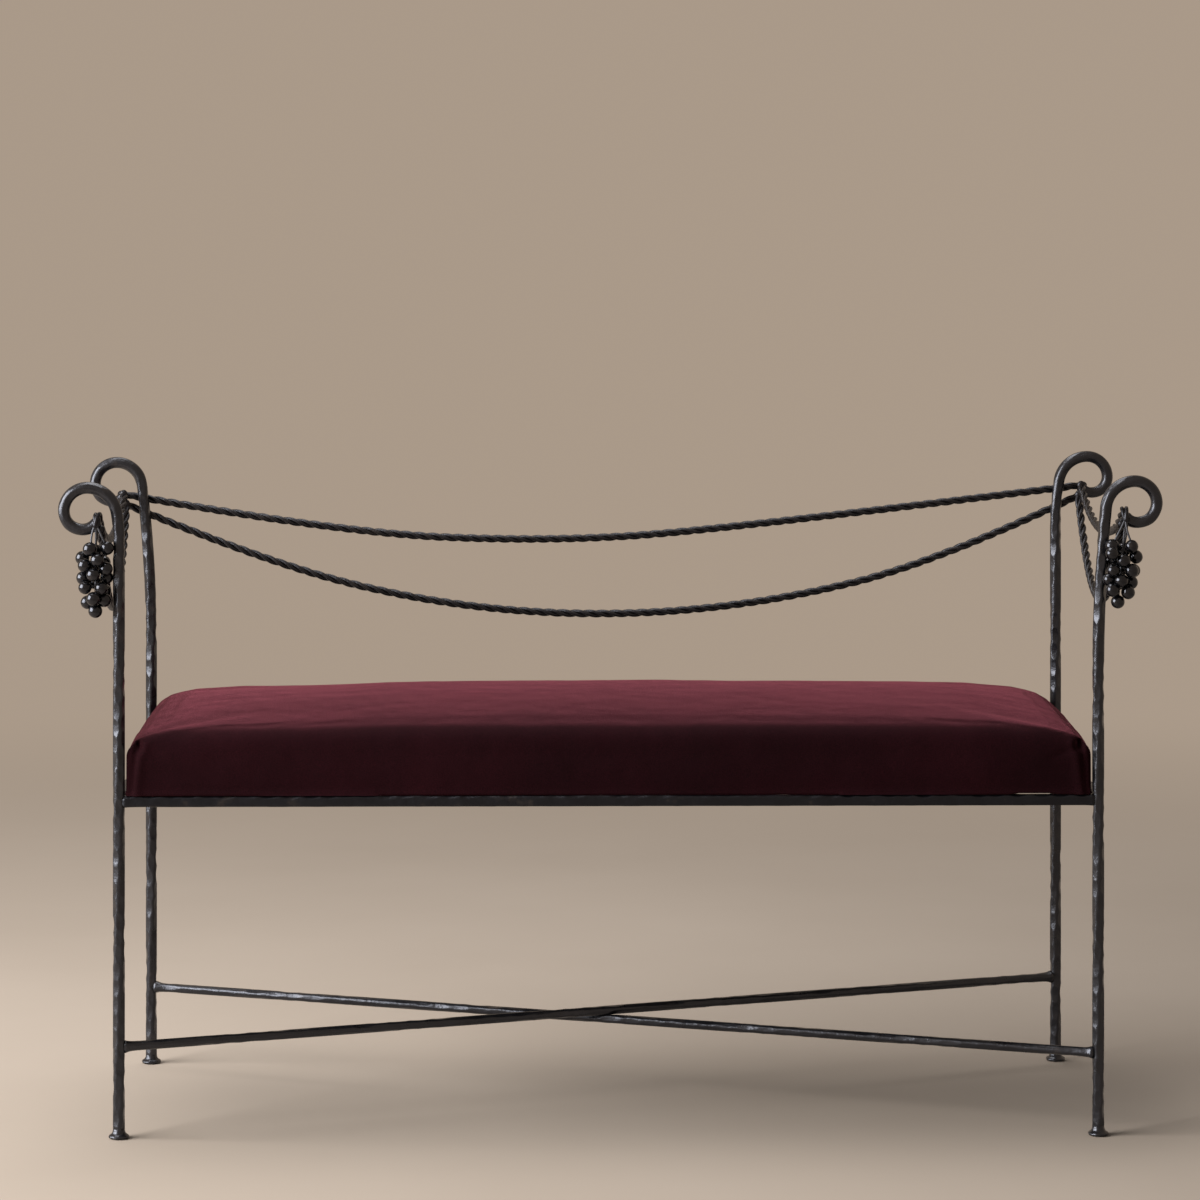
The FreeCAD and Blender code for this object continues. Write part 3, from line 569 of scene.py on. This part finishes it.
def build_back_swags():
    behind = POST_RADIUS + 0.0048 - 0.0005
    levels = (("upper", 0.0012, 0.0618, BACK_UPPER), ("lower", -0.009, 0.1425, BACK_LOWER))
    for level, rise, sag, shares in levels:
        ends = []
        for post in (posts["back_left"], posts["back_right"]):
            ends.append(post.world(post.tip[0] + 0.004, post.tip[1] + rise, behind))
        size = (0.0048, 0.004, 0.0042)
        welds = [(np.array(end) - np.array((0, 0.0015, 0)), size) for end in ends]
        build_rope(f"back_swag_{level}", route(*ends, sag, shares), merge=0.013, welds=welds)


def build_end_swags(side):
    back, front = posts[f"back_{side}"], posts[f"front_{side}"]
    for level, rise, inset, sag in (("upper", 0.002, 0.0, 0.04), ("lower", -0.0095, 0.003, 0.1143)):
        back_out, back_up = back.tip[0] - inset, back.tip[1] + rise
        front_out, front_up = front.tip[0] - inset, front.tip[1] + rise
        start = back.world(back_out, back_up, -0.002)
        end = front.world(front_out, front_up, 0.002)
        points = route(start, end, sag, SIDES)
        welds = [(back.world(back_out, back_up, -0.0052), (0.0046, 0.0034, 0.0054))]
        pitch = PITCH
        if level == "upper":
            over = ((0, 0.0075, 0.003), (0, 0.001, 0.0072))
            down = ((0.0005, -0.0062, 0.0035), (0.0015, -0.0075, -0.0065))
            points = points[:-1] + wrap_over(front, over + down)
            pitch = UPPER_END_PITCH
        else:
            welds.append((front.world(front_out, front_up, -0.001), (0.0052, 0.005, 0.0052)))
        build_rope(f"{side}_swag_{level}", points, pitch, welds=welds)


build_back_swags()
for side in ("left", "right"):
    build_end_swags(side)


# Grape bunches: a dented ball in the place of each solid ball.
def islands(mesh):
    owner = list(range(len(mesh.vertices)))

    def root(k):
        while owner[k] != k:
            owner[k] = owner[owner[k]]
            k = owner[k]
        return k

    for edge in mesh.edges:
        a, b = root(edge.vertices[0]), root(edge.vertices[1])
        if a != b:
            owner[a] = b
    groups = {}
    for k, vertex in enumerate(mesh.vertices):
        groups.setdefault(root(k), []).append(vertex.co)
    return [np.array(group) for group in groups.values()]


def merged_centres(groups, reach):
    """One centre per ball, also where a ball's faces came in as several islands."""
    centres = []
    for group in groups:
        centre = (group.min(0) + group.max(0)) / 2
        if all(np.linalg.norm(centre - other) > reach for other in centres):
            centres.append(centre)
    return centres


def wire(start, end, bow, radius):
    """A drawn wire with a slight bow, thicker where it is welded on."""
    share = np.linspace(0, 1, 24)
    line = np.array(start) + np.outer(share, np.array(end) - np.array(start))
    line += np.outer(np.sin(share * math.pi), np.array(bow))
    ring = spokes(*frames_of(line, (0, -1, 0)), turns_round(12))
    thick = radius * (1 + 0.35 * np.exp(-share / 0.08) + 0.25 * np.exp((share - 1) / 0.06))
    return closed_tube(rounded_end(line[:, None] + ring * thick[:, None, None], 0.5))


def build_bunch(side):
    node = f"{side}_grape_berries"
    centres = merged_centres(islands(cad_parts[node].data), 0.005)
    print(node, "balls", len(centres))
    balls = []
    for number, centre in enumerate(centres):
        balls.append(ball(centre, BERRY_RADIUS * rng.uniform(0.98, 1.06), 3.1 * number))
    add_piece(f"{side}_bunch", balls, BERRY_IRON, [node])

    post = posts[f"front_{side}"]
    hub = np.array(post.line[-1]) + np.array((0, -POST_RADIUS, 0))
    hub += (np.array(post.line[-3]) - np.array(post.line[-1])) * 1.2
    near = sorted(centres, key=lambda centre: np.linalg.norm(centre - hub))
    lowest = min(centres, key=lambda centre: centre[2])
    wires = [wire(hub, lowest, (0, 0.0005, 0), 0.00125)]
    for number, centre in enumerate(near[:3]):
        bow = (0.0012 * (number - 1), -0.0008, 0)
        reach = centre - hub
        stop = centre - reach / np.linalg.norm(reach) * 0.0062
        wires.append(wire(hub + (0.0009 * (number - 1), -0.0006, -0.001), stop, bow, 0.00112))
    wires.append(lump(hub, (0.0028, 0.0026, 0.0032), 5.0))
    # The stems take the lighter copy of the iron, which paints their highlights.
    add_piece(f"{side}_stems", wires, PAINTED_HIGHLIGHT_STEM_IRON, [f"{side}_grape_stems"])


for side in ("left", "right"):
    build_bunch(side)


# Seat pad.
PAD_BOTTOM = 0.377
PAD_HALF_LENGTH = 0.53195
PAD_HALF_WIDTH = 0.201
PAD_HEIGHT = 0.095
PAD_ROLL = 0.022
PAD_TUCK = 0.002
# Share of the way to an end, then the shares of width, height, foot and roll there.
PAD_STATIONS = np.array((
    (0.0, 0.993, 1.0, 0.59, 1.0),
    (0.45, 0.995, 0.977, 0.59, 1.0),
    (0.68, 0.998, 0.95, 0.585, 1.0),
    (0.8, 1.0, 0.922, 0.575, 1.0),
    (0.915, 1.0, 0.84, 0.55, 0.95),
    (0.965, 0.999, 0.755, 0.52, 0.8),
    (0.99, 0.997, 0.655, 0.48, 0.6),
    (1.0, 0.994, 0.58, 0.45, 0.42),
))


def pad_outline(along, inset, count=26):
    """Half of one section across the pad: bottom middle, side, roll, crown."""
    places, shares = PAD_STATIONS[:, 0], PAD_STATIONS[:, 1:].T
    wide, high, foot_share, roll_share = (np.interp(along, places, row) for row in shares)
    width = PAD_HALF_WIDTH * wide - inset
    bottom = PAD_BOTTOM + 0.0003
    foot = PAD_BOTTOM + PAD_HEIGHT * foot_share
    crown = PAD_BOTTOM + PAD_HEIGHT * high - inset
    radius = PAD_ROLL * roll_share - inset
    slope = 2 * math.atan((crown - foot - radius) / (width - radius))
    bend = QUARTER - slope
    centre = width - radius
    # The lower edge keeps its full width on the rails, whatever the inset above it.
    edge = PAD_HALF_WIDTH * wide - PAD_TUCK
    line = [(share * edge, bottom) for share in np.linspace(0, 1, count)]
    rise = foot - bottom
    for t in np.linspace(0, 1, 14)[1:]:
        line.append((width - (width - edge) * (1 - t) ** 2, bottom + rise * t))
    for t in np.linspace(0, 1, 10)[1:]:
        line.append((centre + radius * math.cos(bend * t), foot + radius * math.sin(bend * t)))
    big = (centre + radius * math.cos(bend)) / math.cos(bend)
    middle = crown - big
    for turn in np.linspace(bend, QUARTER, count)[1:]:
        line.append((big * math.cos(turn), middle + big * math.sin(turn)))
    return line


def pad_mesh(inset):
    shares = 1 - (1 - np.linspace(0, 1, 70)) ** 1.5
    shares = np.concatenate([-shares[:0:-1], shares])
    rings = []
    for share in shares:
        half = pad_outline(abs(share), inset)
        ring = half + [(-a, b) for a, b in half[-2:0:-1]]
        rings.append([(share * (PAD_HALF_LENGTH - 0.0006), a, b) for a, b in ring])
    return closed_tube(np.array(rings))


def evaluated_mesh(piece):
    """A new mesh with the modifiers' result."""
    graph = bpy.context.evaluated_depsgraph_get()
    return bpy.data.meshes.new_from_object(piece.evaluated_get(graph))


def simulate(piece, cap):
    """Swell the cover a little with air pressure, its underside and ends held still."""
    before = np.array([v.co for v in piece.data.vertices])
    group = piece.vertex_groups.new(name="held")
    still = before[:, 2] < PAD_BOTTOM + 0.006
    still |= np.abs(before[:, 0]) > PAD_HALF_LENGTH - 0.0045
    held = [int(k) for k in np.nonzero(still)[0]]
    group.add(held, 1.0, "REPLACE")
    cloth = piece.modifiers.new("cloth", "CLOTH")
    cloth.settings.use_pressure = True
    cloth.settings.uniform_pressure_force = 4
    cloth.settings.effector_weights.gravity = 0
    cloth.settings.vertex_group_mass = "held"
    cloth.settings.tension_stiffness = 20
    cloth.settings.compression_stiffness = 20
    cloth.settings.bending_stiffness = 1.5
    for step in range(1, 21):
        bpy.context.scene.frame_set(step)
    after = np.array([v.co for v in evaluated_mesh(piece).vertices])
    piece.modifiers.clear()
    move = after - before
    length = np.linalg.norm(move, axis=1)
    move *= np.minimum(1, cap / np.maximum(length, 1e-9))[:, None]
    furthest = float(np.linalg.norm(move, axis=1).max())
    print("cloth moved", round(furthest * 1000, 1), "mm")
    piece.data.vertices.foreach_set("co", (before + move).astype(np.float32).ravel())
    piece.data.update()


def bell(value, width):
    return np.exp(-(value / width) ** 2)


# Where the corner folds start, and the stretch of front edge that stands off the rail.
FOLD_X, FOLD_Z = 0.5195, 0.4335
GAP_START, GAP_END, GAP_LIFT = 0.44, 0.497, 0.0013


def work_corners(co):
    """Pleats at the four corners, a close front edge, and slow unevenness."""
    for hand in (-1, 1):
        for deep in (-1, 1):
            px, py = co[:, 0] * hand, co[:, 1] * deep
            face = np.clip((py - 0.17) / 0.02, 0, 1)
            # The fold runs from its apex, under the roll, down and outwards.
            down = np.clip((FOLD_Z - co[:, 2]) / 0.05, 0, 1.1)
            line = FOLD_X + 0.0065 * down ** 0.7
            run = (co[:, 2] < FOLD_Z + 0.003) * face
            groove = bell(px - line, 0.0026) * run * (0.0040 - 0.0014 * down)
            lip = bell(px - line + 0.006, 0.006) * run * 0.0014
            deepest = bell(co[:, 2] - FOLD_Z + 0.002, 0.0055) * face * 0.0095
            pit = bell(px - FOLD_X + 0.001, 0.0044) * deepest
            # Beyond the fold the cloth turns towards the end.
            cheek = np.clip(px - line, 0, 0.012) * 0.5 * run
            co[:, 1] += deep * (lip - groove - pit - cheek)
            slant = co[:, 2] - FOLD_Z + 0.004 + (FOLD_X - px) * 0.35
            tail = bell(px - FOLD_X + 0.018, 0.013) * bell(slant, 0.004)
            co[:, 1] -= deep * tail * face * 0.0012
    for k, point in enumerate(co):
        lift = point[2] - PAD_BOTTOM
        if lift > 0.004:
            spot = Vector(point)
            swell = 0.0011 * noise.noise(spot * 9) + 0.0004 * noise.noise(spot * 38)
            away = Vector((0, point[1], (point[2] - 0.41) * 2)).normalized()
            co[k] += np.array(away) * swell * min(1, lift / 0.02)
    # One stretch of the front edge stands a little off the rail.
    gap = np.clip((co[:, 0] - GAP_START) / 0.012, 0, 1)
    gap *= np.clip((GAP_END - co[:, 0]) / 0.012, 0, 1)
    low = np.clip((PAD_BOTTOM + 0.006 - co[:, 2]) / 0.005, 0, 1) * (co[:, 1] < -0.1)
    co[:, 2] += GAP_LIFT * gap * low
    return co


def square_lower_edge(co):
    """Press the lower edge and the ends, which smoothing rounded, square again."""
    upright = np.clip((0.436 - co[:, 2]) / 0.008, 0, 1)
    a = 0.013 - (PAD_HALF_LENGTH - 0.0005 - np.abs(co[:, 0]))
    b = 0.013 - (PAD_HALF_WIDTH - 0.001 - np.abs(co[:, 1]))
    ratio = np.hypot(a, b) / np.maximum(np.maximum(a, b), 1e-9)
    grow = np.where((a > 0) & (b > 0), (ratio - 1) * 0.8 * upright, 0)
    co[:, 0] += np.sign(co[:, 0]) * a * grow
    co[:, 1] += np.sign(co[:, 1]) * b * grow
    reach = 0.009
    place = np.abs(co[:, 0]) / PAD_HALF_LENGTH
    wide = np.interp(place, PAD_STATIONS[:, 0], PAD_STATIONS[:, 1])
    side_limit = PAD_HALF_WIDTH * wide - PAD_TUCK * 0.8
    end_limit = np.full(len(co), PAD_HALF_LENGTH - 0.0005)
    for axis, limit in ((1, side_limit), (0, end_limit)):
        inward = limit - np.abs(co[:, axis])
        up = co[:, 2] - PAD_BOTTOM
        a, b = reach - inward, reach - up
        near = (a > 0) & (b > 0) & (inward > -0.004)
        ratio = np.hypot(a, b) / np.maximum(np.maximum(a, b), 1e-9)
        ratio = 1 + (ratio - 1) * 0.96
        grow = np.where(near, ratio - 1, 0)
        co[:, axis] += np.sign(co[:, axis]) * a * grow
        co[:, 2] -= b * grow
    up = co[:, 2] - PAD_BOTTOM
    flattened = PAD_BOTTOM + 0.0003 + 0.1 * np.maximum(up, 0)
    co[:, 2] = np.where(up < 0.0025, flattened, co[:, 2])
    # The ends stay clear of the posts and swell a little between them.
    most = PAD_HALF_LENGTH + 0.003 * (1 - np.clip(np.abs(co[:, 1]) / 0.18, 0, 1) ** 2)
    co[:, 0] = np.clip(co[:, 0], -most, most)
    return co


def return_to_form(co, share=0.8):
    """Draw the swollen cover back towards the pad's sections, which set its outline."""
    steps = 160
    place = np.clip(np.abs(co[:, 0]) / PAD_HALF_LENGTH, 0, 1)
    nearest = np.rint(place * steps).astype(int)
    to_end = PAD_HALF_LENGTH - np.abs(co[:, 0])
    for station in range(steps + 1):
        chosen = np.nonzero(nearest == station)[0]
        flat = [(a, b, 0.0) for a, b in pad_outline(station / steps, 0.0)]
        line = resample(flat, 0.001)[0][:, :2]
        here = np.stack([np.abs(co[chosen, 1]), co[chosen, 2]], 1)
        away = line[None, :, :] - here[:, None, :]
        best = np.argmin((away ** 2).sum(2), axis=1)
        move = away[np.arange(len(chosen)), best]
        # Places that are nearer to the flat end than to the section stay there.
        free = np.hypot(move[:, 0], move[:, 1]) < np.maximum(to_end[chosen], 0.001) * 2
        free &= here[:, 1] > PAD_BOTTOM + 0.004
        side = np.where(co[chosen, 1] < 0, -1, 1)
        co[chosen, 1] += side * move[:, 0] * share * free
        co[chosen, 2] += move[:, 1] * share * free
    # The left half of the top is sat on a little more.
    high = np.clip((co[:, 2] - 0.43) / 0.03, 0, 1)
    co[:, 2] -= 0.0036 * high * bell(co[:, 0] + 0.38, 0.12)
    return co


def reshape(mesh, work):
    co = work(np.array([v.co for v in mesh.vertices]))
    mesh.vertices.foreach_set("co", co.astype(np.float32).ravel())
    mesh.update()
    return co


def bake(piece):
    """Turn the modifiers' result into the piece's own mesh."""
    mesh = evaluated_mesh(piece)
    piece.modifiers.clear()
    old = piece.data
    piece.data = mesh
    bpy.data.meshes.remove(old)


def build_cushion():
    inset = 0.0042
    piece = add_piece("seat_cushion", [pad_mesh(inset)], velvet_material())
    remesh = piece.modifiers.new("remesh", "REMESH")
    remesh.mode = "VOXEL"
    remesh.voxel_size = 0.0045
    bake(piece)
    simulate(piece, 0.007)
    reshape(piece.data, return_to_form)
    smooth = piece.modifiers.new("smooth", "SMOOTH")
    smooth.factor = 0.5
    smooth.iterations = 3
    finer = piece.modifiers.new("finer", "SUBSURF")
    finer.levels = finer.render_levels = 1
    bake(piece)

    def finish(co):
        co = work_corners(square_lower_edge(co))
        co[:, 2] = np.maximum(co[:, 2], PAD_BOTTOM + 0.0002)
        return co

    co = reshape(piece.data, finish)
    piece.data.shade_smooth()
    print("cushion", len(co), co.min(0), co.max(0))
    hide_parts("seat_cover", "seat_foam")


build_cushion()


def build_lining():
    """The black dust cloth, stapled flat under the board, sagging a little."""
    low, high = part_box("dust_cover")
    columns, rows = 90, 34
    points, faces = [], []
    for j in range(rows + 1):
        for i in range(columns + 1):
            u, v = i / columns, j / rows
            sag = 0.0014 * math.sin(math.pi * u) ** 0.5 * math.sin(math.pi * v) ** 0.5
            ripple = 0.0004 * noise.noise(Vector((u * 24, v * 9, 0)))
            height = high.z - 0.0002 - sag - abs(ripple) * (sag > 0.0004)
            points.append((low.x + (high.x - low.x) * u, low.y + (high.y - low.y) * v, height))
    for j in range(rows):
        for i in range(columns):
            a = j * (columns + 1) + i
            faces.append((a, a + columns + 1, a + columns + 2, a + 1))
    parts = [(np.array(points), faces)]
    piece = add_piece("lining", parts, cloth_material(), ["dust_cover"])


build_lining()

# The solids that show as they are: the board, the straps and the screws.
for node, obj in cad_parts.items():
    if obj.hide_render:
        continue
    if node.startswith("seat_board"):
        material = wood_material()
    elif node.startswith("seat_screws"):
        material = steel_material()
    else:
        material = IRON
    obj.data.materials.clear()
    obj.data.materials.append(material)


# Floor and light: a pale floor that runs out into an even backdrop.
BACKDROP = (0.40, 0.32, 0.25)
FADE_FROM, FADE_TO = 0.9, 3.6
WORLD_STRENGTH = 0.14


def build_floor():
    mesh = bpy.data.meshes.new("floor")
    side = 30
    corners = [(-side, -side, 0), (side, -side, 0), (side, side, 0), (-side, side, 0)]
    mesh.from_pydata(corners, [], [(0, 1, 2, 3)])
    floor = bpy.data.objects.new("floor", mesh)
    bpy.context.scene.collection.objects.link(floor)
    m = Nodes("floor")
    stops = ((0.3, (0.425, 0.347, 0.28)), (0.7, (0.462, 0.38, 0.309)))
    colour = m.ramp(m.noise(1.3, 4, 0.5), stops)
    m.set(Base_Color=colour, Roughness=0.9, Specular_IOR_Level=0.1)
    # Far from the bench, what is seen of the floor turns into the backdrop.
    far = m.add("ShaderNodeVectorMath", operation="LENGTH")
    m.link(m.place, far.inputs[0])
    share = m.add("ShaderNodeMapRange", interpolation_type="SMOOTHSTEP")
    share.inputs["From Min"].default_value = FADE_FROM
    share.inputs["From Max"].default_value = FADE_TO
    m.link(far.outputs["Value"], share.inputs["Value"])
    seen = m.add("ShaderNodeMath", operation="MULTIPLY")
    m.link(share.outputs["Result"], seen.inputs[0])
    m.link(background_rays(m.tree), seen.inputs[1])
    glow = m.add("ShaderNodeEmission")
    glow.inputs["Color"].default_value = (*BACKDROP, 1)
    blend = m.add("ShaderNodeMixShader")
    m.link(seen.outputs["Value"], blend.inputs[0])
    m.link(m.shader.outputs["BSDF"], blend.inputs[1])
    m.link(glow.outputs["Emission"], blend.inputs[2])
    m.link(blend.outputs["Shader"], m.tree.nodes["Material Output"].inputs["Surface"])
    mesh.materials.append(m.material)


def build_world():
    """What lights the bench evenly, and the backdrop in place of it where it is seen."""
    world = bpy.data.worlds.new("world")
    bpy.context.scene.world = world
    world.use_nodes = True
    tree = world.node_tree
    tree.nodes.clear()
    out = tree.nodes.new("ShaderNodeOutputWorld")
    seen = tree.nodes.new("ShaderNodeBackground")
    seen.inputs["Color"].default_value = (*BACKDROP, 1)
    light = tree.nodes.new("ShaderNodeBackground")
    light.inputs["Color"].default_value = (0.95, 0.97, 1.0, 1)
    light.inputs["Strength"].default_value = WORLD_STRENGTH
    mix = tree.nodes.new("ShaderNodeMixShader")
    tree.links.new(background_rays(tree), mix.inputs[0])
    tree.links.new(light.outputs[0], mix.inputs[1])
    tree.links.new(seen.outputs[0], mix.inputs[2])
    tree.links.new(mix.outputs[0], out.inputs["Surface"])


def add_lamp(name, place, aim, size, power, colour=(1, 1, 1)):
    data = bpy.data.lights.new(name, "AREA")
    data.shape = "RECTANGLE"
    data.size, data.size_y = size
    data.energy = power
    data.color = colour
    lamp = bpy.data.objects.new(name, data)
    bpy.context.scene.collection.objects.link(lamp)
    lamp.location = place
    lamp.rotation_euler = (Vector(aim) - Vector(place)).to_track_quat("-Z", "Y").to_euler()


build_floor()
build_world()
add_lamp("key", (-3.3, -1.2, 1.6), (0, 0, 0.4), (3.0, 2.5), 290, (0.97, 0.985, 1.0))
add_lamp("top", (-0.6, 0.5, 3.2), (0, 0, 0.4), (2.4, 1.4), 50)
add_lamp("front", (-0.8, -4.5, 2.4), (0, 0, 0.4), (2.5, 2.0), 2)

# The camera that was fitted to the photograph: level, with the lens shifted down.
camera = bpy.data.objects.new("camera", bpy.data.cameras.new("camera"))
bpy.context.scene.collection.objects.link(camera)
camera.location = (-0.0753, -4.8781, 1.07824)
camera.rotation_euler = (math.radians(90), 0, math.radians(-0.795))
camera.data.sensor_width = 36
camera.data.lens = 127.43
camera.data.shift_y = -0.3676
bpy.context.scene.camera = camera
bpy.context.scene.view_settings.view_transform = "Standard"
